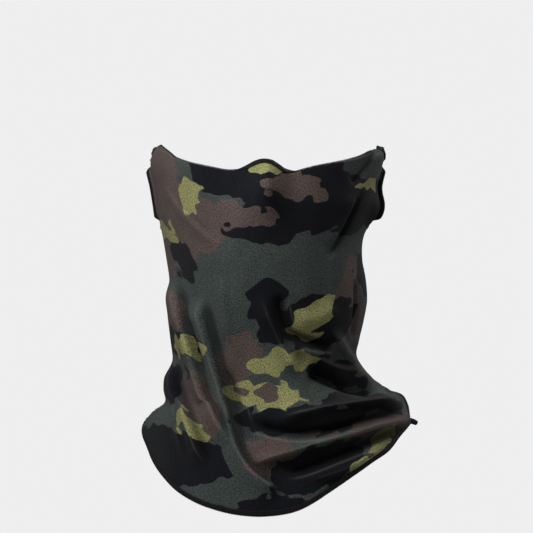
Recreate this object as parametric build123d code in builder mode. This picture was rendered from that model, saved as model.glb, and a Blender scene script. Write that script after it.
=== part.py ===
"""Pull-on camouflage face mask: a knitted tube of two panels with an ear slot in each side seam.

Millimetres. The wearer looks along -Y, +X is to the right of someone facing the mask, and +Z is up.
The origin is the middle of the head, on the line between the two ear slots.
The mask is modelled as worn: high on the ears, over the nose and cheeks, close round the neck,
and flared over the shoulders, with the front hanging lower than the back.
"""

from build123d import *
import os
from functools import cache
from math import cos, exp, radians, sin

# Driving sizes
CLOTH = 0.8  # thickness of the brushed knit
THREAD = 0.5  # how far the overlock threads stand proud of the cloth, and past its cut edge
GAP = 0.03  # air between two pieces that lie on each other
HEM_BAND = 4.0  # width of the overlock along the top edge and the hem
SLOT_BAND = 2.6  # width of the overlock round an ear slot
NEEDLE = 0.4  # thickness of the needle thread, which lies on the overlock
NEEDLE_WIDTH = 0.7
NEEDLE_INSET = 0.6  # from the inner edge of the overlock to the needle thread
ALLOWANCE = 5.0  # seam allowance, turned to the inside of the tube
SEAM_Y = 4.0  # the side seams lie in this plane, just behind the middle of the ears
SLOT_TOP = 23.0
SLOT_BOTTOM = -25.0
SLOT_HALF_WIDTH = 7.0
SEAM_NEEDLE_DEPTH = 1.2  # from the inside of the cloth to the needle thread of a seam
TACK = (0.8, 8.0, 2.4)  # a slot tack's thickness, length across the seam and height
TOP_CHAIN = 0.9  # radius of the overlock chain that the right top seam ends in
TOP_CHAIN_ROUTE = [(86.4, 4.0, 34.0), (88.0, 4.8, 29.0), (87.4, 6.0, 24.0)]
HEM_CHAIN = 1.8  # radius of the bunched chain that the right side seam ends in
HEM_CHAIN_ROUTE = [(102.7, 4.0, -168.0), (107.5, 4.0, -168.2), (112.0, 4.0, -171.0)]
FAR = 160.0  # reaches past the mask on every side
SIDE = 120.0  # the two side profiles of an edge are drawn this far from the middle

# Level cuts through the worn tube: height, reach to -X, +X, the front and the back, and the nose's height.
SECTIONS = [
    (60, 82, 84, 88, 88, 8),
    (28, 85, 85, 91, 90, 13),
    (10, 85, 83, 95, 89, 21),
    (-6, 82, 80, 97, 86, 15),
    (-25, 78, 75, 99, 80, 5),
    (-50, 75, 72, 100, 75, 1),
    (-75, 72, 74, 97, 72, 0),
    (-100, 71, 72, 91, 70, 0),
    (-125, 69, 68, 86, 70, 0),
    (-147, 71, 80, 84, 76, 0),
    (-162, 84, 98, 88, 84, 0),
    (-180, 92, 107, 94, 91, 0),
    (-210, 94, 107, 101, 95, 0),
    (-275, 96, 107, 112, 98, 0),
]
NOSE_WIDTH = 11.0  # degrees round the head
FRONT_TURNS = (-90, -72, -54, -38, -25, -15, -7, 0, 7, 15, 25, 38, 54, 72, 90)  # degrees from straight ahead
BACK_TURNS = (-90, -68, -45, -22, 0, 22, 45, 68, 90)  # degrees from straight behind

# The edges of the tube seen from the side, as (y, z) from the back of the head to the front. The hem has one
# profile for each side, because the bib hangs lower to -X, and runs straight across from one to the other.
TOP_EDGE = [
    (FAR, 12), (90, 17), (40, 29), (SEAM_Y, 35), (-25, 31), (-50, 25.5), (-72, 18), (-89, 14), (-99, 16), (-108, 21),
    (-116, 22), (-FAR, 22),
]
HEM_LEFT = [
    (FAR, -148), (90, -152), (42, -160), (SEAM_Y, -172), (-39, -198), (-68, -221), (-90, -235), (-104, -238),
    (-FAR, -240),
]
HEM_RIGHT = [
    (FAR, -150), (90, -151), (42, -153), (SEAM_Y, -170.5), (-39, -177), (-68, -189), (-90, -207), (-104, -226),
    (-FAR, -250),
]


@cache
def half_form(half, grow):
    """The solid behind one panel's outer face, closed by the seam plane. grow moves that face outwards."""
    turns = FRONT_TURNS if half == "front" else BACK_TURNS
    facing = -1 if half == "front" else 1
    with BuildPart() as form:
        for height, left, right, front, back, nose in SECTIONS:
            reach = front if half == "front" else back
            outline = []
            for turn in turns:
                across = (right if turn > 0 else left) + grow
                ridge = nose * exp(-((turn / NOSE_WIDTH) ** 2)) if half == "front" else 0
                along = (reach + grow) * cos(radians(turn)) + ridge
                outline.append((across * sin(radians(turn)), SEAM_Y + facing * along))
            outline[0] = (outline[0][0], SEAM_Y)
            outline[-1] = (outline[-1][0], SEAM_Y)
            with BuildSketch(Plane.XY.offset(height)):
                with BuildLine():
                    Spline(*outline, tangents=[(0, facing), (0, -facing)])
                    Line(outline[-1], outline[0])
                make_face()
        loft(ruled=True)
    return form.part


def beyond(left_edge, right_edge, shift, far):
    """Everything between one edge of the tube, shifted in height, and a level far past the mask."""
    with BuildPart() as region:
        for x, edge in ((-SIDE, left_edge), (SIDE, right_edge)):
            points = [(y, z + shift) for y, z in edge]
            with BuildSketch(Plane.YZ.offset(x)):
                with BuildLine():
                    Spline(*points)
                    Polyline(points[-1], (-FAR, far), (FAR, far), points[0])
                make_face()
        loft(ruled=True)
    return region.part


def below_top(shift):
    """Everything below the top edge, shifted in height."""
    return beyond(TOP_EDGE, TOP_EDGE, shift, -2 * FAR)


def above_hem(shift):
    """Everything above the hem, shifted in height."""
    return beyond(HEM_LEFT, HEM_RIGHT, shift, FAR)


def ear_slots(grow):
    """Both ear slots, lens-shaped from the side and cut through along X, grown all round."""
    middle = (SLOT_TOP + SLOT_BOTTOM) / 2
    with BuildPart() as slots:
        with BuildSketch(Plane.YZ):
            with BuildLine():
                top = (SEAM_Y, SLOT_TOP + grow)
                bottom = (SEAM_Y, SLOT_BOTTOM - grow)
                ThreePointArc(top, (SEAM_Y - SLOT_HALF_WIDTH - grow, middle), bottom)
                ThreePointArc(bottom, (SEAM_Y + SLOT_HALF_WIDTH + grow, middle), top)
            make_face()
        extrude(amount=FAR, both=True)
    return slots.part


def block(x_range, y_range, z_range):
    """A plain box between two limits along each axis."""
    (x_from, x_to), (y_from, y_to), (z_from, z_to) = x_range, y_range, z_range
    with BuildPart() as box:
        with Locations(((x_from + x_to) / 2, (y_from + y_to) / 2, (z_from + z_to) / 2)):
            Box(x_to - x_from, y_to - y_from, z_to - z_from)
    return box.part


def seam_slab(half, depth):
    """A slice of that thickness on one panel's side of the seam plane."""
    y_range = (SEAM_Y - depth, SEAM_Y) if half == "front" else (SEAM_Y, SEAM_Y + depth)
    return block((-FAR, FAR), y_range, (-2 * FAR, FAR))


@cache
def cloth_solid(half, gap):
    """One panel, with both seam allowances turned inwards, wrapped in a gap on every face."""
    with BuildPart() as cloth:
        add(half_form(half, gap))
        add(half_form(half, -CLOTH - gap) - seam_slab(half, CLOTH + gap), mode=Mode.SUBTRACT)
        add(half_form(half, -CLOTH - ALLOWANCE - gap), mode=Mode.SUBTRACT)
        add(below_top(gap), mode=Mode.INTERSECT)
        add(above_hem(-gap), mode=Mode.INTERSECT)
        add(ear_slots(-gap), mode=Mode.SUBTRACT)
    return cloth.part


def layer(half, outer, inner):
    """The space between two copies of one panel's outer face, grown by those two amounts."""
    with BuildPart() as shell:
        add(half_form(half, outer))
        add(half_form(half, inner), mode=Mode.SUBTRACT)
    return shell.part


def top_strip(upper, lower):
    """A strip that follows the top edge, between two shifts in height."""
    return below_top(upper) - below_top(lower)


def hem_strip(lower, upper):
    """A strip that follows the hem, between two shifts in height."""
    return above_hem(lower) - above_hem(upper)


def slot_ring(outer, inner):
    """A ring round both ear slots, between two grown outlines."""
    return ear_slots(outer) - ear_slots(inner)


def side_space(side):
    """Everything on one side of the middle of the mask."""
    x_range = (-FAR, 0) if side == "left" else (0, FAR)
    return block(x_range, (-FAR, FAR), (-2 * FAR, FAR))


def overlock(half, strip):
    """Looper threads wrapped round a cut edge: the outside, the inside and the edge itself."""
    with BuildPart() as band:
        add(layer(half, THREAD, -CLOTH - THREAD))
        add(strip, mode=Mode.INTERSECT)
        add(cloth_solid(half, GAP), mode=Mode.SUBTRACT)
    return band.part


def needle_thread(half, strip):
    """The needle thread, a line on the outside of an overlock."""
    with BuildPart() as thread:
        add(layer(half, THREAD + GAP + NEEDLE, THREAD + GAP))
        add(strip, mode=Mode.INTERSECT)
    return thread.part


def seam_trim(z_range):
    """The stretch of both side seams between two heights, as far as the cut edges of the cloth."""
    with BuildPart() as trim:
        add(block((-FAR, FAR), (-FAR, FAR), z_range))
        add(below_top(0.0), mode=Mode.INTERSECT)
        add(above_hem(0.0), mode=Mode.INTERSECT)
    return trim.part


def seam_overlock(trim):
    """The overlock that holds two seam allowances together, inside the tube, on both sides."""
    with BuildPart() as seam:
        for half in ("front", "back"):
            band = layer(half, -CLOTH - THREAD - GAP, -CLOTH - ALLOWANCE - THREAD)
            add(band & seam_slab(half, CLOTH + THREAD) & trim - cloth_solid(half, GAP))
    return seam.part


def seam_needle_thread(trim):
    """The needle thread of a seam, along the front face of its overlock."""
    depth = -CLOTH - THREAD - SEAM_NEEDLE_DEPTH
    inner_y = CLOTH + THREAD + GAP
    with BuildPart() as thread:
        add(layer("front", depth, depth - NEEDLE_WIDTH))
        add(seam_slab("front", inner_y + NEEDLE) - seam_slab("front", inner_y), mode=Mode.INTERSECT)
        add(trim, mode=Mode.INTERSECT)
    return thread.part


def slot_tacks(side):
    """The dense tacks that lock the seam above and below one ear slot, on the outside."""
    thickness, length, height = TACK
    start = THREAD + 2 * GAP + NEEDLE
    with BuildPart() as tacks:
        for z_range in ((SLOT_TOP, SLOT_TOP + height), (SLOT_BOTTOM - height, SLOT_BOTTOM)):
            place = block((-FAR, FAR), (SEAM_Y - length / 2, SEAM_Y + length / 2), z_range)
            for half in ("front", "back"):
                add(layer(half, start + thickness, start) & place & side_space(side))
    return tacks.part


def chain_end(radius, *route):
    """A short end of overlock chain along one arc through three points."""
    with BuildPart() as chain:
        with BuildLine():
            arc = ThreePointArc(*route)
        with BuildSketch(Plane(origin=arc @ 0, z_dir=arc % 0)):
            Circle(radius)
        sweep()
    return chain.part


def save(part, name):
    """Labels a finished piece and writes it as a node of its own."""
    part.label = name
    export_step(part, f"parts/{name}.step")
    print(name, len(part.solids()), round(part.volume, 1))


os.makedirs("parts", exist_ok=True)

for half in ("front", "back"):
    save(cloth_solid(half, 0.0), f"{half}_panel")
    save(overlock(half, top_strip(THREAD, -HEM_BAND)), f"top_edge_overlock_{half}")
    save(overlock(half, hem_strip(-THREAD, HEM_BAND)), f"hem_overlock_{half}")
    needle_strip = top_strip(NEEDLE_INSET + NEEDLE_WIDTH - HEM_BAND, NEEDLE_INSET - HEM_BAND)
    save(needle_thread(half, needle_strip), f"top_edge_needle_thread_{half}")
    needle_strip = hem_strip(HEM_BAND - NEEDLE_INSET - NEEDLE_WIDTH, HEM_BAND - NEEDLE_INSET)
    save(needle_thread(half, needle_strip), f"hem_needle_thread_{half}")
    band = overlock(half, slot_ring(SLOT_BAND, -THREAD))
    needle_strip = slot_ring(SLOT_BAND - NEEDLE_INSET, SLOT_BAND - NEEDLE_INSET - NEEDLE_WIDTH)
    thread = needle_thread(half, needle_strip)
    for side in ("left", "right"):
        save(band & side_space(side), f"{side}_ear_slot_overlock_{half}")
        save(thread & side_space(side), f"{side}_ear_slot_needle_thread_{half}")

for name, z_range in {"side": (-2 * FAR, SLOT_BOTTOM), "top": (SLOT_TOP, FAR)}.items():
    trim = seam_trim(z_range)
    seams = seam_overlock(trim)
    threads = seam_needle_thread(trim)
    for side in ("left", "right"):
        save(seams & side_space(side), f"{side}_{name}_seam_overlock")
        save(threads & side_space(side), f"{side}_{name}_seam_needle_thread")

for side in ("left", "right"):
    save(slot_tacks(side), f"{side}_ear_slot_tacks")

save(chain_end(TOP_CHAIN, *TOP_CHAIN_ROUTE), "right_top_chain_end")
save(chain_end(HEM_CHAIN, *HEM_CHAIN_ROUTE), "right_hem_chain_end")
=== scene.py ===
"""The looks of the camo face mask: printed knit with its folds, black overlock threads, and the studio.

Shapes are worked out in millimetres and turned into metres when a mesh is made. The folds and the print
of the front panel are placed by its front elevation: how the worn mask looks from VIEW_DISTANCE in front.
The print is a plain four-colour woodland camouflage: broad patches with lobes that a noise gives them.
"""

from math import pi

import bpy
import numpy as np
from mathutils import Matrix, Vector


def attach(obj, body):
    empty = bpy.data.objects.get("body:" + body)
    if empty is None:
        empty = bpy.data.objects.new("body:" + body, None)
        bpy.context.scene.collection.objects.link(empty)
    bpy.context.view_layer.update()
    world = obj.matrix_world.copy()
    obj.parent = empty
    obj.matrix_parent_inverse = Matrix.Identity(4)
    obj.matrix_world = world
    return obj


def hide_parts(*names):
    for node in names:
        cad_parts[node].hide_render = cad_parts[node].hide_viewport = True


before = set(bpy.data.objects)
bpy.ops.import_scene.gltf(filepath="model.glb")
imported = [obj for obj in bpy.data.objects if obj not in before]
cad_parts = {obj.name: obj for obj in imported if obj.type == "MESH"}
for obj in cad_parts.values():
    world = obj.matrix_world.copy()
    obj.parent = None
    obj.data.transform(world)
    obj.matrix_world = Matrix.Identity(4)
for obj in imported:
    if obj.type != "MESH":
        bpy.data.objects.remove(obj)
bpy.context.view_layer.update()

MM = 0.001
VIEW_DISTANCE = 2000.0  # from the camera to the middle of the head
VIEW_HEIGHT = -55.0  # of the camera, which looks level along +Y
SEAM_Y = 4.0
CLOTH = 0.7
SLOT_TOP = 23.0
SLOT_BOTTOM = -25.0
SLOT_HALF_WIDTH = 7.0
ALLOWANCE = 5.0  # turned inwards at a seam, curled outwards at an ear slot
SLOT_CURL = 0.8  # radians
SLOT_RUN_OUT = 8.0  # over which a free slot edge turns into a seam allowance
SLOT_FLARE = 4.0  # how far the lower end of the right ear slot stands out
HEM_WING = 6.0  # how far the back panel stands out near the right hem corner
TOUCH = 0.02  # from the seam plane to the printed face of each seam allowance
ROLL = 6.0  # of the top edge, which curls inwards except over the nose and at the seams
ROLL_TURN = 3.4  # radians
THREAD = 0.25  # radius of a looper thread
STITCH = 1.15  # length of an overlock stitch
COLUMNS = 204
COLUMN_BIAS = 0.25  # columns lie this share closer together at the nose, and wider apart at the seams
ROWS = 196
DENSE_ROWS = 900  # before each column is spaced out evenly
ROLL_ROWS = 8
HEM_ROWS = 6  # of the grid, under the stitches of the hem
SIDE_COLUMNS = 5
SEAM_BEND = ALLOWANCE / SIDE_COLUMNS * 0.5**0.5  # how far the bend of a seam allowance reaches past its start

# ---------------------------------------------------------------- the worn tube

# Level cuts: height, then reach to -X and to +X, which both panels share, and to the front.
# The back has its own reach.
LEVELS = [
    (40, 79, 83, 90), (34, 81.5, 85, 91), (27, 85, 87, 92), (18, 86, 85.5, 94), (5, 83.5, 82.5, 98),
    (-10, 81, 81, 100), (-20, 79.5, 76.5, 100), (-35, 76.5, 71.5, 100), (-50, 74, 71, 100),
    (-64, 72, 73.5, 98), (-80, 72, 74.5, 95), (-95, 71, 72, 91), (-110, 70, 68.5, 87),
    (-122, 69, 66.5, 85), (-132, 69.5, 72, 84), (-141, 71, 82, 84), (-148, 71, 93, 85),
    (-156, 74.5, 101, 87), (-163, 84.5, 105, 91), (-172, 91, 107, 95), (-190, 92, 108, 100),
    (-215, 93, 107, 104), (-245, 94, 106, 107),
]
BACK_REACH = [
    (40, 88), (27, 90), (5, 89), (-10, 86), (-20, 83), (-35, 79), (-50, 76), (-64, 74), (-80, 72), (-110, 71),
    (-122, 71), (-134, 74), (-142, 79), (-154, 88), (-163, 93), (-172, 96),
]
# The rest follows the head: degrees from straight ahead, or from straight behind on the back panel, and the
# height of the top edge or the hem there.
FRONT_TOP = [
    (-90, 32), (-80, 35.2), (-72, 33.6), (-60, 29.2), (-50, 23.6), (-40, 19.2), (-30, 16.2), (-20, 14.3),
    (-14, 15.9), (-10, 17.8), (-6, 20.2), (-3, 21.5), (0, 21.7), (3, 20.6), (6, 17.8), (9, 15.2),
    (13, 14.0), (20, 15.2), (30, 17.9), (40, 20.7), (50, 23.9), (60, 27), (72, 31), (82, 33.2), (90, 33),
]
FRONT_HEM = [
    (-90, -172), (-75, -183.5), (-65, -195), (-55, -205), (-45, -214), (-35, -221), (-25, -226),
    (-12, -230), (0, -230.7), (12, -227), (25, -214.5), (35, -204), (45, -195), (55, -187.7),
    (65, -178.5), (76, -172.5), (90, -170.5),
]
BACK_TOP = [(-90, 32), (-70, 27), (-45, 20), (0, 15), (45, 20), (70, 26), (90, 33)]
BACK_HEM = [
    (-90, -172), (-80, -170.5), (-65, -165), (-45, -158), (0, -152), (45, -150), (65, -149.5),
    (80, -155), (90, -170.5),
]
NOSE = [(40, 12), (21, 15), (10, 18), (0, 17), (-10, 12), (-20, 7), (-35, 3), (-55, 0), (-250, 0)]
NOSE_WIDTH = [(40, 7.5), (10, 8), (-20, 13), (-55, 20), (-250, 20)]  # degrees


def smooth_through(table, column, at):
    """A smooth curve through one column of a table, whose first column rises or falls steadily."""
    rows = sorted(table)
    knots = np.array([row[0] for row in rows], float)
    values = np.array([row[column] for row in rows], float)
    slopes = np.gradient(values, knots)
    at = np.clip(at, knots[0], knots[-1])
    i = np.clip(np.searchsorted(knots, at, side="right") - 1, 0, len(knots) - 2)
    width = knots[i + 1] - knots[i]
    t = (at - knots[i]) / width
    return (
        values[i] * (1 + 2 * t) * (1 - t) ** 2
        + slopes[i] * width * t * (1 - t) ** 2
        + values[i + 1] * t * t * (3 - 2 * t)
        - slopes[i + 1] * width * t * t * (1 - t)
    )


def smoothstep(low, high, value):
    t = np.clip((value - low) / (high - low), 0, 1)
    return t * t * (3 - 2 * t)


def slot_opening(z):
    """How far one edge of an ear slot stands from the seam plane at a height."""
    middle = (SLOT_TOP + SLOT_BOTTOM) / 2
    along = np.clip((z - middle) / (SLOT_TOP - middle), -1, 1)
    return SLOT_HALF_WIDTH * (1 - along**2)


def flatness(z):
    """1 where a side edge is free beside its ear slot, 0 where it is turned inwards as a seam allowance."""
    above = smoothstep(SLOT_BOTTOM, SLOT_BOTTOM + SLOT_RUN_OUT, z)
    return above * (1 - smoothstep(SLOT_TOP - SLOT_RUN_OUT, SLOT_TOP, z))


def tube(half, turn, z):
    """Points of the smooth tube, without folds. turn runs from -90 at -X to 90 at +X on either half."""
    facing = -1 if half == "front" else 1
    left = smooth_through(LEVELS, 1, z)
    right = smooth_through(LEVELS, 2, z)
    reach = smooth_through(LEVELS, 3, z) if half == "front" else smooth_through(BACK_REACH, 1, z)
    if half == "front":
        width = smooth_through(NOSE_WIDTH, 1, z)
        reach = reach + smooth_through(NOSE, 1, z) * np.exp(-((turn / width) ** 2))
    flat = flatness(z)
    gap = TOUCH + SEAM_BEND * (1 - flat) + slot_opening(z) + ALLOWANCE * flat
    edge = np.degrees(np.arccos(gap / reach))
    angle = np.radians(turn * edge / 90)
    across = np.where(turn > 0, right, left)
    return np.stack([across * np.sin(angle), SEAM_Y + facing * reach * np.cos(angle), z + 0 * angle], axis=-1)


def elevation(points):
    """Where points stand in the front elevation: across and up, in millimetres at the middle of the head."""
    scale = VIEW_DISTANCE / (VIEW_DISTANCE + points[..., 1])
    return points[..., 0] * scale, VIEW_HEIGHT + (points[..., 2] - VIEW_HEIGHT) * scale


def rounded(points, steps=3, closed=False):
    """An outline or route with its corners cut round."""
    points = np.array(points, float)
    for _ in range(steps):
        after = np.roll(points, -1, axis=0) if closed else points[1:]
        before = points if closed else points[:-1]
        cut = np.stack([before * 0.75 + after * 0.25, before * 0.25 + after * 0.75], axis=1)
        cut = cut.reshape(-1, points.shape[1])
        points = cut if closed else np.concatenate([points[:1], cut, points[-1:]])
    return points


def beside(route, x, z):
    """Distance from a route, positive to its left, and the share of the route's length passed there."""
    best = np.full(x.shape, 1e9)
    signed = np.zeros(x.shape)
    passed = np.zeros(x.shape)
    steps = np.hypot(*np.diff(route, axis=0).T)
    length = steps.sum()
    so_far = 0.0
    for (x0, z0), (x1, z1), step in zip(route[:-1], route[1:], steps):
        dx, dz = (x1 - x0) / step, (z1 - z0) / step
        along = np.clip((x - x0) * dx + (z - z0) * dz, 0, step)
        off_x, off_z = x - x0 - dx * along, z - z0 - dz * along
        distance = np.hypot(off_x, off_z)
        closer = distance < best
        best = np.where(closer, distance, best)
        signed = np.where(closer, np.where(dx * off_z - dz * off_x > 0, distance, -distance), signed)
        passed = np.where(closer, (so_far + along) / length, passed)
        so_far += step
    return signed, passed


# Folds of the front panel: route in the front elevation, height outwards, width to the left and to the
# right of the route (seen along it), and how much of the route's ends fades in and out.
FOLDS = [
    # pleats that twist from the left cheek to the bottom of the bib
    ([(-50, -76), (-42, -105), (-33, -142), (-25, -180), (-19, -196), (-8, -211), (14, -223)],
     9.0, 2.0, 12.0, 0.10),
    ([(-70, -62), (-55, -105), (-50, -125), (-41, -160), (-33, -175), (-26, -190)], 8.0, 2.0, 9.0, 0.15),
    ([(-66, -122), (-66, -140), (-62, -156), (-55, -174), (-43, -206)], 7.0, 2.0, 8.0, 0.2),
    ([(-71, -130), (-68, -160), (-63, -180), (-57, -200)], 2.5, 2.0, 4.0, 0.3),
    ([(-58, -84), (-47, -122), (-42, -140)], -4.0, 3.5, 3.5, 0.3),
    ([(-30, -128), (-24, -150), (-17, -172), (-8, -190)], -4.5, 4.0, 6.0, 0.25),
    ([(-34, -60), (-30, -90), (-26, -115)], 2.2, 1.8, 6.0, 0.3),
    # the chin: a soft ridge down to the throat with a hollow beside it
    ([(-4, -74), (0, -88), (6, -102), (14, -120), (26, -138)], 5.0, 4.0, 9.0, 0.25),
    ([(9, -74), (10, -86), (14, -104), (26, -109), (40, -113), (50, -107)], -6.0, 4.5, 4.5, 0.18),
    ([(20, -92), (33, -94), (44, -90), (50, -80)], 3.5, 8.0, 8.0, 0.3),
    ([(14, -111), (25, -115), (38, -119), (52, -121)], 6.0, 2.5, 6.0, 0.25),
    # the pocket under the right jaw and the ridge over it
    ([(46, -98), (55, -116), (62, -128), (72, -138), (86, -146)], 6.0, 5.0, 2.5, 0.2),
    ([(30, -131), (45, -137), (58, -141), (70, -145), (82, -149)], -11.0, 7.0, 5.0, 0.15),
    # rolls that fan out from the right hem corner
    ([(104, -158), (85, -155), (65, -157), (45, -160), (25, -166), (5, -168)], 7.0, 4.0, 6.0, 0.2),
    ([(106, -160), (85, -165), (65, -171), (45, -176), (22, -178), (0, -172), (-15, -168)],
     -7.5, 5.0, 4.0, 0.15),
    ([(108, -168), (85, -172), (65, -178), (45, -184), (5, -197), (-14, -201)], 8.0, 3.5, 6.0, 0.15),
    ([(104, -173), (85, -180), (65, -189), (45, -197), (25, -205), (10, -206)], -7.0, 4.0, 4.5, 0.15),
    ([(92, -184), (70, -199), (48, -209), (28, -214)], 4.0, 3.0, 5.0, 0.25),
    # the right side, pulled to the ear
    ([(86, 33), (78, 23), (71, 13), (63, 6)], -3.5, 1.6, 4.0, 0.12),
    ([(74, 2), (68, -8), (62, -20), (57, -30), (46, -52)], -3.2, 1.8, 5.0, 0.2),
    ([(70, 2), (62, -10), (55, -24), (46, -42)], 3.5, 3.0, 5.0, 0.3),
    ([(67, -62), (67.5, -80), (66, -100), (63, -112)], -3.5, 2.0, 2.0, 0.2),
    ([(-80, 12), (-66, -10), (-48, -30), (-30, -42)], 1.8, 2.0, 5.0, 0.35),
]


def folds(x, z):
    """How far the front panel's folds stand out from the smooth tube, and the light painted on the cloth
    there: above 0 for a painted highlight along the crest of a fold, and below 0 for painted shade in the
    crease beside it."""
    height = np.zeros(x.shape)
    painted_fold_light = np.zeros(x.shape)
    for route, rise, left, right, fade in FOLDS:
        reach = 3.2 * max(left, right)
        route = np.array(route, float)
        near = (
            (x > route[:, 0].min() - reach) & (x < route[:, 0].max() + reach)
            & (z > route[:, 1].min() - reach) & (z < route[:, 1].max() + reach)
        )
        signed, passed = beside(rounded(route, 2), x[near], z[near])
        width = np.where(signed > 0, left, right)
        ends = smoothstep(0, fade, passed) * smoothstep(0, fade, 1 - passed)
        height[near] += rise * ends / (1 + (signed / width) ** 2) ** 1.5
        # painted highlight along the crest of each fold, and painted shade in the crease beside it
        strength = ends * min(abs(rise) / 8, 1.2)
        crest, crease = (0.0, 1.7 * left) if rise > 0 else (1.6 * left, 0.0)
        painted_fold_light[near] += 0.85 * strength * np.exp(-(((signed - crest) / 1.3) ** 2))
        painted_fold_light[near] -= strength * np.exp(-(((signed - crease) / (min(left, right) + 1.6)) ** 2))
    return height, painted_fold_light


def resample(columns, count):
    """Columns of points, and what they carry beside x, y and z, evenly spaced along each column."""
    steps = np.linalg.norm(np.diff(columns[..., :3], axis=0), axis=-1)
    lengths = np.concatenate([np.zeros((1, columns.shape[1])), np.cumsum(steps, axis=0)])
    out = np.empty((count,) + columns.shape[1:])
    for j in range(columns.shape[1]):
        at = np.linspace(0, lengths[-1, j], count)
        for k in range(columns.shape[2]):
            out[:, j, k] = np.interp(at, lengths[:, j], columns[:, j, k])
    return out


def outward(points):
    """Unit normals of a grid of points, pointing out of the tube."""
    down = np.gradient(points, axis=0)
    across = np.gradient(points, axis=1)
    normals = np.cross(down, across)
    return normals / np.linalg.norm(normals, axis=-1, keepdims=True)


def flare(turn, z):
    """How far the lower end of the right ear slot stands out from the head."""
    return SLOT_FLARE * smoothstep(74, 90, turn) * np.exp(-(((z + 14) / 10) ** 2))


def wing(turn, z):
    """How far the back panel stands out where its hem runs up from the right hem corner."""
    bulge = HEM_WING * np.exp(-(((turn - 76) / 9) ** 2))
    return bulge * smoothstep(-148, -156, z) * (1 - smoothstep(84, 90, turn))


RIPPLE_WAVES = 22
RIPPLE_HEIGHT = 0.07  # of one wave
BACK_RIPPLES = 400.0  # how far off the back panel reads the waves, so that they differ from the front's


def ripples(x, z):
    """Shallow random waves of worn knit, in millimetres, longer down the tube than across it."""
    waves = np.random.default_rng(11)
    height = np.zeros(x.shape)
    for _ in range(RIPPLE_WAVES):
        across, down, shift = waves.normal(0, 0.16), waves.normal(0, 0.06), waves.uniform(0, 2 * pi)
        height += np.sin(across * x + down * z + shift)
    return height * RIPPLE_HEIGHT


def curl(turn):
    """How far the top edge is rolled in: mostly 1, and 0 over the nose and at the seams."""
    return smoothstep(5, 26, np.abs(turn)) * (1 - smoothstep(76, 88, np.abs(turn)))


def rolled_edge(points, turn):
    """Rows added above a grid: the top edge of each column, curled inwards."""
    up = points[0] - points[1]
    up /= np.linalg.norm(up, axis=-1, keepdims=True)
    inward = -outward(points)[0]
    step = ROLL / ROLL_ROWS
    at = points[0]
    rows = []
    for i in range(ROLL_ROWS):
        angle = (ROLL_TURN * curl(turn) * (i + 0.5) / ROLL_ROWS)[:, None]
        at = at + step * (np.cos(angle) * up + np.sin(angle) * inward)
        rows.append(at)
    return np.concatenate([np.array(rows[::-1]), points])


def side_edge(at, beside_it, inward):
    """Columns past a grid's outer column: the side edge, turned inwards, or outwards at the ear slot."""
    seam = 1 - flatness(at[:, 2])
    joined = seam[:, None]
    out = at - beside_it
    out /= np.linalg.norm(out, axis=-1, keepdims=True)
    out = out * (1 - joined) + np.array([0.0, np.sign(SEAM_Y - at[0, 1]), 0.0]) * joined
    out /= np.linalg.norm(out, axis=-1, keepdims=True)
    inward = inward * (1 - joined) - np.array([np.sign(at[0, 0]), 0.0, 0.0]) * joined
    inward /= np.linalg.norm(inward, axis=-1, keepdims=True)
    turned = pi / 2 * seam - SLOT_CURL * (1 - seam)
    step = ALLOWANCE / SIDE_COLUMNS
    columns = []
    for i in range(SIDE_COLUMNS):
        angle = (turned * (0.5 if i == 0 else 1.0))[:, None]
        at = at + step * (np.cos(angle) * out + np.sin(angle) * inward)
        columns.append(at)
    return np.stack(columns, axis=1)


SPREAD_FROM = 60.0  # degrees from straight ahead, past which the print is spread out along the cloth
BACK_PRINT = (-1.2, 1.1, -12.0)  # millimetres of print a degree, scale up and down, and shift


def print_place(half, turn, points):
    """Where the print's pattern is read: the front elevation, with its sides spread out along the cloth."""
    if half == "back":
        across, up, shift = BACK_PRINT
        return across * turn + 0 * points[..., 2], up * points[..., 2] + shift
    x, z = elevation(points)
    beyond = np.radians(np.maximum(np.abs(turn) - SPREAD_FROM, 0))
    wider = np.sin(np.radians(SPREAD_FROM)) + 0.5 * beyond - np.sin(np.radians(np.abs(turn)))
    spread = np.abs(points[..., 0]) * wider
    return x + np.sign(turn) * np.where(beyond > 0, spread, 0), z


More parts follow.
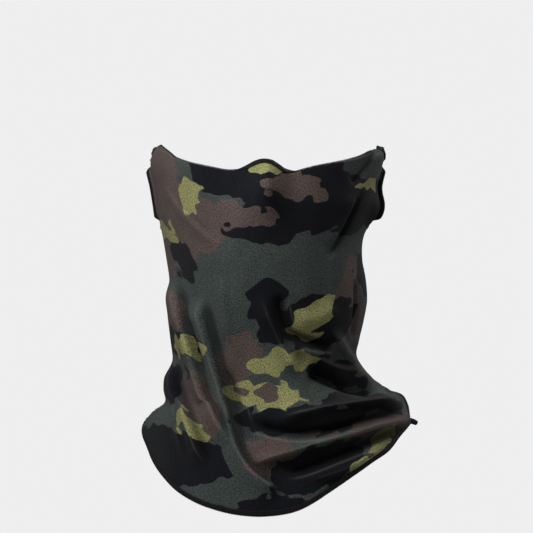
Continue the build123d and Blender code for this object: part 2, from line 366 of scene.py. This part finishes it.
def panel(half):
    """The cloth of one panel: points, where the print and the knit are read, and the painted highlight and
    shade of its folds, all as grids.
    Rows run from the top edge to the hem. Columns run from -X to +X on the front, and back on the back."""
    share = np.linspace(-1, 1, COLUMNS)
    turn = 90 * (share - COLUMN_BIAS * np.sin(pi * share) / pi) * (1 if half == "front" else -1)
    top, hem = (FRONT_TOP, FRONT_HEM) if half == "front" else (BACK_TOP, BACK_HEM)
    held = curl(turn)
    rim = smooth_through(top, 1, turn) - (1 - held) * ROLL - held * ROLL / ROLL_TURN
    down = np.linspace(0, 1, DENSE_ROWS)[:, None]
    z = rim * (1 - down) + smooth_through(hem, 1, turn) * down
    points = tube(half, turn + 0 * z, z)
    x_seen, z_seen = elevation(points)
    depth = ripples(x_seen + (0 if half == "front" else BACK_RIPPLES), z_seen)
    # the painted highlight and shade of the folds, which the material reads
    wear_and_painted_fold_light = np.zeros(z.shape)
    if half == "front":
        height, wear_and_painted_fold_light = folds(x_seen, z_seen)
        depth = depth + height
    still = smoothstep(80, 90, np.abs(turn))
    lift = depth * (1 - still) + flare(turn, z)
    if half == "back":
        lift = lift + wing(turn, z)
    points += outward(points) * lift[..., None]
    layers = resample(np.concatenate([points, wear_and_painted_fold_light[..., None]], axis=-1), ROWS)
    points = rolled_edge(layers[..., :3], turn)
    wear_and_painted_fold_light = np.pad(layers[..., 3], ((ROLL_ROWS, 0), (SIDE_COLUMNS, SIDE_COLUMNS)), mode="edge")
    inward = -outward(points)
    first = side_edge(points[:, 0], points[:, 1], inward[:, 0])
    last = side_edge(points[:, -1], points[:, -2], inward[:, -1])
    places = print_place(half, turn, points)
    grid = np.concatenate([first[:, ::-1], points, last], axis=1)
    if half == "front":
        grid[..., 1] = np.minimum(grid[..., 1], SEAM_Y - TOUCH)
    else:
        grid[..., 1] = np.maximum(grid[..., 1], SEAM_Y + TOUCH)
    places = [np.pad(place, ((0, 0), (SIDE_COLUMNS, SIDE_COLUMNS)), mode="reflect") for place in places]
    places[1][:ROLL_ROWS] += np.linspace(ROLL, 0, ROLL_ROWS)[:, None]
    steps = np.linalg.norm(np.diff(grid, axis=1), axis=-1).mean(axis=0)
    across = np.concatenate([[0], np.cumsum(steps)])
    steps = np.linalg.norm(np.diff(grid, axis=0), axis=-1)
    along = np.concatenate([np.zeros((1, grid.shape[1])), np.cumsum(steps, axis=0)])
    return grid, places, (across + 0 * along, -along), wear_and_painted_fold_light


# ---------------------------------------------------------------- the print

# Broad patches in the front elevation, painted in this order over grey-green. They only say roughly where a
# colour lies: their corners are rounded off, and the noise in the material gives them their lobes.
PATCHES = {
    "brown": [
        [(-115, 42), (-72, 34), (-60, 0), (-12, -15), (4, -30), (-40, -38), (-66, -62), (-115, -60)],
        [(-115, -66), (-74, -66), (-54, -90), (-66, -104), (-115, -100)],
        [(-18, -101), (-40, -118), (-32, -150), (4, -122)],
        [(-70, -130), (-40, -138), (-30, -188), (-60, -176)],
        [(52, -60), (72, -40), (72, -112), (56, -112)],
        [(-18, -182), (20, -180), (26, -206), (-14, -214)],
        [(-72, -173), (-48, -184), (-38, -208), (-66, -196)],
        [(4, -165), (60, -166), (120, -160), (120, -174), (50, -184)],
    ],
    "black": [
        [(-66, 17), (-30, 45), (44, 45), (50, 14), (118, 2), (118, -24), (22, -32), (0, -18), (-40, -4)],
        [(-44, -26), (10, -22), (24, -34), (-4, -42)],
        [(64, -38), (118, -24), (118, -80), (68, -80)],
        [(-70, -26), (-54, -46), (-52, -66), (-66, -62)],
        [(-115, -96), (-56, -104), (-42, -119), (-115, -122)],
        [(-18, -70), (16, -66), (6, -92), (12, -118), (-6, -104)],
        [(10, -82), (48, -74), (70, -84), (52, -118), (16, -112)],
        [(-115, -124), (-56, -126), (-66, -156), (-115, -158)],
        [(24, -124), (54, -120), (86, -146), (40, -146)],
        [(40, -146), (84, -149), (120, -154), (100, -162), (36, -161)],
        [(-27, -162), (36, -154), (84, -164), (50, -181), (-26, -176)],
        [(-100, -172), (-56, -174), (-22, -200), (-40, -222), (-100, -212)],
        [(4, -202), (38, -186), (80, -182), (60, -208), (40, -226), (6, -222)],
        [(-50, -230), (-6, -230), (34, -224), (34, -250), (-40, -250)],
    ],
    "yellow": [
        [(-63, 11), (-46, 10), (-54, -6), (-42, -20), (-66, -14)],
        [(-88, -22), (-71, -23), (-65, -37), (-88, -32)],
        [(-13, 17), (0, 22), (14, 17), (0, 15)],
        [(64, 5), (84, 14), (86, 1), (73, 3)],
        [(46, -72), (50, -88), (36, -111), (10, -100), (30, -86)],
        [(-70, -106), (-48, -110), (-46, -128), (-62, -124)],
        [(-22, -129), (4, -118), (42, -119), (18, -136)],
        [(-34, -142), (8, -140), (34, -150), (30, -161), (-28, -158)],
        [(-70, -161), (-60, -162), (-40, -186), (-62, -178)],
        [(56, -209), (84, -176), (102, -172), (72, -205)],
    ],
    "stripe": [
        [(-12, 4), (24, 17), (36, 10), (52, -10), (18, -2)],
        [(-50, -5), (-12, -10), (20, -19), (-16, -27), (-48, -24)],
        [(-30, -146), (0, -143), (16, -154), (-8, -151)],
    ],
}


def inside(outline, x, z):
    """Distance to a closed outline, positive inside it and negative outside."""
    distance = np.full(x.shape, 1e9)
    crossed = np.zeros(x.shape, bool)
    for (x0, z0), (x1, z1) in zip(outline, np.roll(outline, -1, axis=0)):
        dx, dz = x1 - x0, z1 - z0
        along = np.clip(((x - x0) * dx + (z - z0) * dz) / (dx * dx + dz * dz), 0, 1)
        distance = np.minimum(distance, np.hypot(x - x0 - along * dx, z - z0 - along * dz))
        if dz:
            crossed ^= ((z0 > z) != (z1 > z)) & (x < x0 + (z - z0) * dx / dz)
    return np.where(crossed, distance, -distance)


def paint(patches, x, z):
    """How deep each point lies inside the nearest of some patches, in millimetres."""
    reach = 12.0
    depth = np.full(x.shape, -reach)
    for patch in patches:
        outline = rounded(patch, 2, closed=True)
        low, high = outline.min(axis=0) - reach, outline.max(axis=0) + reach
        near = (x > low[0]) & (x < high[0]) & (z > low[1]) & (z < high[1])
        depth[near] = np.maximum(depth[near], inside(outline, x[near], z[near]))
    return depth


# ---------------------------------------------------------------- meshes


def new_piece(name, mesh):
    piece = bpy.data.objects.new(name, mesh)
    bpy.context.scene.collection.objects.link(piece)
    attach(piece, "root")
    return piece


def add_uvs(mesh, across, along):
    """Texture coordinates in metres, from one pair of numbers for each vertex."""
    layer = mesh.uv_layers.new(name="metres")
    corners = np.empty(len(mesh.loops), np.int32)
    mesh.loops.foreach_get("vertex_index", corners)
    layer.data.foreach_set("uv", (np.stack([across, along], axis=-1)[corners] * MM).ravel())


def cloth_piece(half, materials):
    """One knitted panel with its print."""
    points, (x, z), (across, along), wear_and_painted_fold_light = panels[half]
    rows, columns = points.shape[:2]
    index = np.arange(rows * columns).reshape(rows, columns)
    faces = np.stack([index[:-1, :-1], index[1:, :-1], index[1:, 1:], index[:-1, 1:]], axis=-1).reshape(-1, 4)
    mesh = bpy.data.meshes.new(f"{half}_cloth")
    mesh.from_pydata((points * MM).reshape(-1, 3).tolist(), [], faces.tolist())
    mesh.shade_smooth()
    add_uvs(mesh, across.ravel(), along.ravel())
    for colour, patches in PATCHES.items():
        depth = mesh.attributes.new(colour, "FLOAT", "POINT")
        depth.data.foreach_set("value", paint(patches, x.ravel(), z.ravel()))
    # painted highlight and shade of the folds, for the material
    mesh.attributes.new("painted_fold_light", "FLOAT", "POINT").data.foreach_set("value", wear_and_painted_fold_light.ravel())
    for material in materials:
        mesh.materials.append(material)
    piece = new_piece(f"{half}_cloth", mesh)
    solid = piece.modifiers.new("thickness", "SOLIDIFY")
    solid.thickness = CLOTH * MM
    solid.offset = -1
    solid.material_offset = 1
    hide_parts(f"{half}_panel")


def strand(points, away, radius, sides=6):
    """Vertices, faces and texture coordinates of one thread. away points from its core to its open side."""
    along = np.gradient(points, axis=0)
    along /= np.linalg.norm(along, axis=-1, keepdims=True)
    side = np.cross(along, away)
    side /= np.linalg.norm(side, axis=-1, keepdims=True)
    up = np.cross(side, along)
    angle = (np.arange(sides) * 2 * pi / sides)[None, :, None]
    vertices = points[:, None] + radius * (np.cos(angle) * side[:, None] + np.sin(angle) * up[:, None])
    index = np.arange(len(points) * sides).reshape(-1, sides)
    after = np.roll(index, -1, axis=1)
    faces = np.stack([index[:-1], after[:-1], after[1:], index[1:]], axis=-1).reshape(-1, 4)
    ends = [index[0, ::-1].tolist(), index[-1].tolist()]
    passed = np.concatenate([[0], np.cumsum(np.linalg.norm(np.diff(points, axis=0), axis=-1))])
    round_it = np.arange(sides) * 2 * pi * radius / sides
    across, along = np.tile(round_it, len(points)), np.repeat(passed, sides)
    return vertices.reshape(-1, 3), faces.tolist() + ends, across, along


def thread_piece(name, node, strands, material):
    """One piece made of threads, in place of the CAD node that stands for them."""
    vertices, faces, across, along = [], [], [], []
    for part in strands:
        start = sum(len(v) for v in vertices)
        vertices.append(part[0])
        faces += [[start + corner for corner in face] for face in part[1]]
        across.append(part[2])
        along.append(part[3])
    mesh = bpy.data.meshes.new(name)
    mesh.from_pydata((np.concatenate(vertices) * MM).tolist(), [], faces)
    mesh.shade_smooth()
    add_uvs(mesh, np.concatenate(across), np.concatenate(along))
    mesh.materials.append(material)
    piece = new_piece(name, mesh)
    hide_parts(node)


# ---------------------------------------------------------------- stitches


class Border:
    """The strip of cloth along one edge. Places on it are given by the way along the edge, the way into the
    cloth and the height over the printed face."""

    def __init__(self, grid, normals):
        self.grid, self.normals = grid, normals
        along = np.linalg.norm(np.diff(grid[0], axis=0), axis=-1)
        into = np.linalg.norm(np.diff(grid, axis=0), axis=-1).mean(axis=1)
        self.along = np.concatenate([[0], np.cumsum(along)])
        self.into = np.concatenate([[0], np.cumsum(into)])
        self.length = self.along[-1]

    def at(self, along, into, height):
        column = np.interp(along, self.along, np.arange(len(self.along)))
        row = np.interp(into, self.into, np.arange(len(self.into)))
        j = np.minimum(column.astype(int), len(self.along) - 2)
        i = np.minimum(row.astype(int), len(self.into) - 2)
        s, t = (column - j)[..., None], (row - i)[..., None]

        def mix(values):
            near = values[i, j] * (1 - s) + values[i, j + 1] * s
            return near * (1 - t) + (values[i + 1, j] * (1 - s) + values[i + 1, j + 1] * s) * t

        outside = self.grid[0, j] - self.grid[1, j]
        outside = outside / np.linalg.norm(outside, axis=-1, keepdims=True)
        past = np.maximum(-into, 0)[..., None]
        return mix(self.grid) + mix(self.normals) * height[..., None] + outside * past

    def strand(self, along, into, height, lean_into, lean_height, radius):
        points = self.at(along, into, height)
        away = self.at(along, into + lean_into, height + lean_height) - points
        return strand(points, away, radius)


def looper(border, width, side, face, middle, seed):
    """One looper thread: out over a face of the cloth and back to the cut edge, once for each stitch."""
    # Share of the stitch, way into the cloth, and 1 on the face or 0 at the cut edge.
    steps = [(0.0, -THREAD, 0), (0.16, 0.35, 1), (0.42, width, 1), (0.58, width, 1), (0.84, 0.35, 1)]
    count = int(border.length / STITCH)
    jitter = np.random.default_rng(seed).normal(0, 1, (count, len(steps)))
    share, into, lifted = np.array(steps).T
    start = np.arange(count)[:, None]
    along = (start + share + 0.03 * jitter) * STITCH
    into = into + np.where(into > 1, 0.12, 0.03) * jitter
    height = np.where(lifted > 0, face + side * THREAD, middle) + 0 * jitter
    lean_into = np.where(lifted > 0, 0.0, -0.2) + 0 * jitter
    lean_height = np.where(lifted > 0, 0.2 * side, 0.0) + 0 * jitter
    return border.strand(*[v.ravel() for v in (along, into, height, lean_into, lean_height)], THREAD)


def overlock(border, width, over=0.0):
    """Both looper threads of an overlocked edge. over is how far above the printed face the cloth goes on."""
    middle = (over - CLOTH) / 2
    return [
        looper(border, width, 1, over, middle, 3),
        looper(border, width, -1, -CLOTH, middle, 4),
    ]


def needle_line(border, into, over=0.0):
    """The needle thread: a row of stitches that dip into the cloth between two loops."""
    count = int(border.length / STITCH)
    along = np.arange(4 * count) * STITCH / 4
    lift = np.abs(np.sin(pi * along / STITCH))
    flat = np.zeros(len(along))
    return [border.strand(along, flat + into, over + THREAD * (0.6 + 2.0 * lift), flat, flat + 0.2, 0.2)]


def top_border(half):
    grid, normals = panels[half][0], outward(panels[half][0])
    inner = slice(SIDE_COLUMNS, -SIDE_COLUMNS)
    return Border(grid[:ROLL_ROWS, inner], normals[:ROLL_ROWS, inner])


def hem_border(half):
    grid, normals = panels[half][0], outward(panels[half][0])
    inner = slice(SIDE_COLUMNS, -SIDE_COLUMNS)
    rows = slice(None, -HEM_ROWS - 1, -1)
    return Border(grid[rows, inner], normals[rows, inner])


def side_border(half, side, low, high):
    """A stretch between two heights of the edge at -X or +X."""
    grid, normals = panels[half][0], outward(panels[half][0])
    if (side == "right") == (half == "front"):
        grid, normals = grid[:, ::-1], normals[:, ::-1]
    z = grid[:, SIDE_COLUMNS, 2]
    rows = np.flatnonzero((z > low) & (z < high))
    rows = rows[rows >= ROLL_ROWS - 2]
    strip = slice(0, SIDE_COLUMNS + 1)
    return Border(grid[rows, strip].transpose(1, 0, 2), normals[rows, strip].transpose(1, 0, 2))


CHAIN_POINTS = 16  # of each thread, in one turn of the chain


def chain(route, radius, thread, turns):
    """A chain of three twisted threads along a route, tapering at its free end."""
    route = rounded(route, 3)
    share = np.linspace(0, 1, CHAIN_POINTS * turns)
    own = np.linspace(0, 1, len(route))
    middle = np.stack([np.interp(share, own, route[:, k]) for k in range(3)], axis=-1)
    along = np.gradient(middle, axis=0)
    side = np.cross(along, (0.0, 1.0, 0.0))
    side /= np.linalg.norm(side, axis=-1, keepdims=True)
    up = np.cross(side, along)
    up /= np.linalg.norm(up, axis=-1, keepdims=True)
    strands = []
    for third in range(3):
        angle = (2 * pi * (turns * share + third / 3))[:, None]
        away = np.cos(angle) * side + np.sin(angle) * up
        taper = (1 - 0.5 * share**3)[:, None]
        strands.append(strand(middle + away * radius * taper, away, thread))
    return strands


TACK_ZIGZAGS = 9
TACK_REACH = 3.6  # to each side of the seam plane
TACK_HEIGHT = 2.2


def tack(side, z):
    """A dense zigzag across the seam at one end of an ear slot, on the outside."""
    column, sign = (1, -1) if side == "left" else (2, 1)
    y = SEAM_Y + np.tile([-TACK_REACH, TACK_REACH], TACK_ZIGZAGS)
    height = z + np.linspace(0, TACK_HEIGHT, 2 * TACK_ZIGZAGS)
    x = sign * (smooth_through(LEVELS, column, height) + flare(90 * sign, height) + THREAD)
    away = np.tile([sign, 0.0, 0.0], (2 * TACK_ZIGZAGS, 1))
    return strand(np.stack([x, y, height], axis=-1), away, THREAD)


# ---------------------------------------------------------------- materials


class Nodes:
    """Short ways to add shader nodes to one material."""

    def __init__(self, name):
        self.material = bpy.data.materials.new(name)
        self.material.use_nodes = True
        self.tree = self.material.node_tree
        self.shader = self.tree.nodes["Principled BSDF"]

    def add(self, kind, inputs=None, **settings):
        node = self.tree.nodes.new(kind)
        for key, value in settings.items():
            setattr(node, key, value)
        for key, value in (inputs or {}).items():
            self.put(value, node.inputs[key])
        return node

    def put(self, value, socket):
        if isinstance(value, bpy.types.NodeSocket):
            self.tree.links.new(value, socket)
        else:
            socket.default_value = value

    def maths(self, operation, *values):
        return self.add("ShaderNodeMath", dict(enumerate(values)), operation=operation).outputs[0]

    def mix(self, share, first, second, blend="MIX"):
        node = self.add("ShaderNodeMix", data_type="RGBA", blend_type=blend)
        self.put(share, node.inputs[0])
        self.put(first, node.inputs[6])
        self.put(second, node.inputs[7])
        return node.outputs[2]

    def noise(self, place, scale, detail=2.0, rough=0.5):
        wanted = {"Vector": place, "Scale": scale, "Detail": detail, "Roughness": rough}
        return self.add("ShaderNodeTexNoise", wanted)

    def spread(self, value, low, high, to_low, to_high):
        wanted = {0: value, 1: low, 2: high, 3: to_low, 4: to_high}
        return self.add("ShaderNodeMapRange", wanted, interpolation_type="SMOOTHSTEP").outputs[0]


GREEN = (0.0255, 0.0315, 0.0290, 1)
BROWN = (0.0460, 0.0345, 0.0310, 1)
BLACK = (0.0034, 0.0038, 0.0052, 1)
YELLOW = (0.128, 0.130, 0.054, 1)
BARE_KNIT = (0.11, 0.11, 0.105, 1)  # the unprinted side, which the dye reaches only in part
CREST_HIGHLIGHT = (0.11, 0.10, 0.09, 1)  # painted highlight along the crest of a fold
PAINTS = {"brown": BROWN, "black": BLACK, "yellow": YELLOW, "stripe": BROWN}
LOBES = 4.6  # about how far the noise moves the edge of a patch, in millimetres


def knit(name, printed):
    """Printed four-colour knit, or the paler inner side of it."""
    n = Nodes(name)
    place = n.add("ShaderNodeUVMap", uv_map="metres").outputs[0]
    flat = n.add("ShaderNodeMapping", {0: place, "Scale": (0.75, 1.25, 1.0)}).outputs[0]
    lobes = n.add("ShaderNodeSeparateColor", {0: n.noise(flat, 80.0, 0.6).outputs["Color"]})
    colour = GREEN
    for i, (paint_name, shade) in enumerate(PAINTS.items()):
        depth = n.add("ShaderNodeAttribute", attribute_name=paint_name).outputs["Fac"]
        lobe = n.maths("MULTIPLY", n.maths("SUBTRACT", lobes.outputs[i % 3], 0.5), 4 * LOBES)
        colour = n.mix(n.spread(n.maths("ADD", depth, lobe), -0.4, 0.4, 0.0, 1.0), colour, shade)
    heather = n.noise(place, 850.0, 3.0, 0.8)
    # a broad random mottle of wear in the tone of the knit
    wear_and_painted_fold_light = n.noise(place, 22.0, 4.0, 0.6).outputs[0]
    tint = n.mix(0.5, colour, heather.outputs["Color"], "OVERLAY")
    tint = n.mix(1.0, tint, n.spread(heather.outputs[0], 0.36, 0.64, 0.5, 1.5), "MULTIPLY")
    tint = n.mix(1.0, tint, n.spread(wear_and_painted_fold_light, 0.3, 0.7, 0.88, 1.12), "MULTIPLY")
    # painted shade in the creases of the folds, and a painted highlight along their crests
    painted_fold_light = n.add("ShaderNodeAttribute", attribute_name="painted_fold_light").outputs["Fac"]
    tint = n.mix(1.0, tint, n.spread(painted_fold_light, -1.0, 0.0, 0.35, 1.0), "MULTIPLY")
    tint = n.mix(n.spread(painted_fold_light, 0.0, 0.8, 0.0, 0.30), tint, CREST_HIGHLIGHT)
    if not printed:
        tint = n.mix(0.42, tint, BARE_KNIT)
    n.put(tint, n.shader.inputs["Base Color"])
    wales = n.add("ShaderNodeTexWave", {0: place, "Scale": 350.0, "Distortion": 0.4}, bands_direction="X")
    courses = n.add("ShaderNodeTexWave", {0: place, "Scale": 420.0, "Distortion": 0.8}, bands_direction="Y")
    weave = n.maths("MULTIPLY", wales.outputs["Fac"], n.maths("ADD", courses.outputs["Fac"], 0.6))
    fuzz = n.maths("ADD", weave, n.maths("MULTIPLY", heather.outputs[0], 0.9))
    bump = n.add("ShaderNodeBump", {"Strength": 0.55, "Distance": 0.00025, "Height": fuzz})
    n.put(bump.outputs[0], n.shader.inputs["Normal"])
    n.put(0.9, n.shader.inputs["Roughness"])
    n.put(0.06, n.shader.inputs["Specular IOR Level"])
    n.put(0.015, n.shader.inputs["Sheen Weight"])
    n.put(0.5, n.shader.inputs["Sheen Roughness"])
    return n.material


def yarn(name, colour, rough):
    """Twisted polyester thread, with painted shade between its plies and a painted highlight on them."""
    n = Nodes(name)
    place = n.add("ShaderNodeUVMap", uv_map="metres").outputs[0]
    slanted = n.add("ShaderNodeMapping", {0: place, "Rotation": (0, 0, 0.6)}).outputs[0]
    plies = n.add("ShaderNodeTexWave", {0: slanted, "Scale": 900.0, "Distortion": 0.3}, bands_direction="Y")
    fibre = n.noise(place, 2500.0, 2.0).outputs[0]
    # painted shade in the grooves between the plies, and a painted highlight on their tops
    shade = n.mix(1.0, colour, n.spread(plies.outputs["Fac"], 0.0, 1.0, 0.55, 1.5), "MULTIPLY")
    n.put(n.mix(1.0, shade, n.spread(fibre, 0.3, 0.7, 0.7, 1.3), "MULTIPLY"), n.shader.inputs["Base Color"])
    height = n.maths("ADD", plies.outputs["Fac"], fibre)
    bump = n.add("ShaderNodeBump", {"Strength": 0.6, "Distance": 0.00012, "Height": height})
    n.put(bump.outputs[0], n.shader.inputs["Normal"])
    n.put(rough, n.shader.inputs["Roughness"])
    n.put(0.15, n.shader.inputs["Specular IOR Level"])
    return n.material


# ---------------------------------------------------------------- the mask

# How far each overlock reaches into the cloth.
TOP_WIDTH = 4.0
HEM_WIDTH = 4.0
SLOT_WIDTH = 2.6
SEAM_WIDTH = 4.2
NEEDLE_INSET = 0.7  # of the needle thread from that
BOTH_FACES = CLOTH + 2 * TOUCH  # from one panel's printed face to the far side of the other's allowance
FAR = 300.0  # above or below every edge

panels = {half: panel(half) for half in ("front", "back")}
knits = [knit("printed_knit", True), knit("inner_knit", False)]
cloth_piece("front", knits)
cloth_piece("back", knits)

looper_yarn = yarn("overlock_thread", (0.0024, 0.0024, 0.0028, 1), 0.7)
needle_yarn = yarn("needle_thread", (0.0042, 0.0042, 0.0048, 1), 0.6)


def stitched(name, node_end, border, width, over=0.0):
    """The overlock and the needle thread along one border."""
    ends = f"_{node_end}" if node_end else ""
    loops = f"{name}_overlock{ends}"
    thread_piece(loops, loops, overlock(border, width, over), looper_yarn)
    needle = f"{name}_needle_thread{ends}"
    line = needle_line(border, width - NEEDLE_INSET, over)
    thread_piece(needle, needle, line, needle_yarn)


for half in ("front", "back"):
    stitched("top_edge", half, top_border(half), TOP_WIDTH)
    stitched("hem", half, hem_border(half), HEM_WIDTH)
    for side in ("left", "right"):
        stitched(f"{side}_ear_slot", half, side_border(half, side, SLOT_BOTTOM, SLOT_TOP), SLOT_WIDTH)
for side in ("left", "right"):
    stitched(f"{side}_top_seam", "", side_border("front", side, SLOT_TOP, FAR), SEAM_WIDTH, BOTH_FACES)
    stitched(f"{side}_side_seam", "", side_border("front", side, -FAR, SLOT_BOTTOM), SEAM_WIDTH, BOTH_FACES)
    tacks = [tack(side, SLOT_TOP), tack(side, SLOT_BOTTOM - TACK_HEIGHT)]
    thread_piece(f"{side}_ear_slot_tacks", f"{side}_ear_slot_tacks", tacks, looper_yarn)

TOP_CHAIN = [(82.0, 4.0, 33.6), (85.5, 4.2, 32.5), (87.6, 4.6, 29.0), (87.4, 5.0, 24.5)]
HEM_CHAIN = [(102.5, 4.0, -169.0), (105.5, 4.0, -169.2), (108.5, 4.0, -169.8), (111.0, 4.0, -171.0)]
CHAIN_TURNS = 5
for node, route, radius, thread in (
    ("right_top_chain_end", TOP_CHAIN, 0.75, 0.55),
    ("right_hem_chain_end", HEM_CHAIN, 1.3, 1.1),
):
    thread_piece(node, node, chain(route, radius, thread, CHAIN_TURNS), looper_yarn)

# ---------------------------------------------------------------- studio

scene = bpy.context.scene
scene.view_settings.view_transform = "Standard"
BACKDROP = 0.86  # how bright the studio wall looks
ABOVE = 0.52  # how much soft light falls on the mask from above
BELOW = 0.04  # and from below
FLOOR = -0.36  # height of the floor, in metres


def studio_world():
    """A plain wall, and soft light that fades from above to below."""
    world = bpy.data.worlds.new("studio")
    scene.world = world
    world.use_nodes = True
    tree = world.node_tree
    place = tree.nodes.new("ShaderNodeTexCoord")
    split = tree.nodes.new("ShaderNodeSeparateXYZ")
    fade = tree.nodes.new("ShaderNodeMapRange")
    seen = tree.nodes.new("ShaderNodeLightPath")
    choice = tree.nodes.new("ShaderNodeMix")
    for socket, value in (("From Min", -0.35), ("From Max", 0.75), ("To Min", BELOW), ("To Max", ABOVE)):
        fade.inputs[socket].default_value = value
    choice.inputs["B"].default_value = BACKDROP
    tree.links.new(place.outputs["Generated"], split.inputs[0])
    tree.links.new(split.outputs["Z"], fade.inputs["Value"])
    tree.links.new(fade.outputs[0], choice.inputs["A"])
    tree.links.new(seen.outputs["Is Camera Ray"], choice.inputs["Factor"])
    tree.links.new(choice.outputs[0], tree.nodes["Background"].inputs["Color"])


studio_world()


def softbox(name, place, aim, size, watts):
    """A lamp with a broad face, turned towards a point. Its place and size are in metres."""
    light = bpy.data.lights.new(name, "AREA")
    light.shape = "RECTANGLE"
    light.size, light.size_y = size
    light.energy = watts
    lamp = bpy.data.objects.new(name, light)
    scene.collection.objects.link(lamp)
    lamp.location = place
    lamp.rotation_euler = (Vector(aim) - Vector(place)).to_track_quat("-Z", "Y").to_euler()


softbox("key", (-0.25, -0.5, 0.42), (0, -0.05, 0.03), (0.4, 0.4), 9.5)
softbox("back_fill", (1.0, 1.1, 0.9), (0, 0, -0.05), (1.0, 1.0), 22)

bpy.ops.mesh.primitive_circle_add(vertices=96, radius=0.75, fill_type="NGON", location=(0, 0, FLOOR))
floor = bpy.context.object
floor.name = "floor"
pale = Nodes("pale_floor")
pale.put((0.57, 0.57, 0.57, 1), pale.shader.inputs["Base Color"])
pale.put(0.9, pale.shader.inputs["Roughness"])
floor.data.materials.append(pale.material)

camera = bpy.data.objects.new("camera", bpy.data.cameras.new("camera"))
scene.collection.objects.link(camera)
scene.camera = camera
camera.location = (0, -VIEW_DISTANCE * MM, VIEW_HEIGHT * MM)
camera.rotation_euler = (pi / 2, 0, 0)
camera.data.sensor_width = 36
camera.data.lens = 182.5
camera.data.clip_end = 50
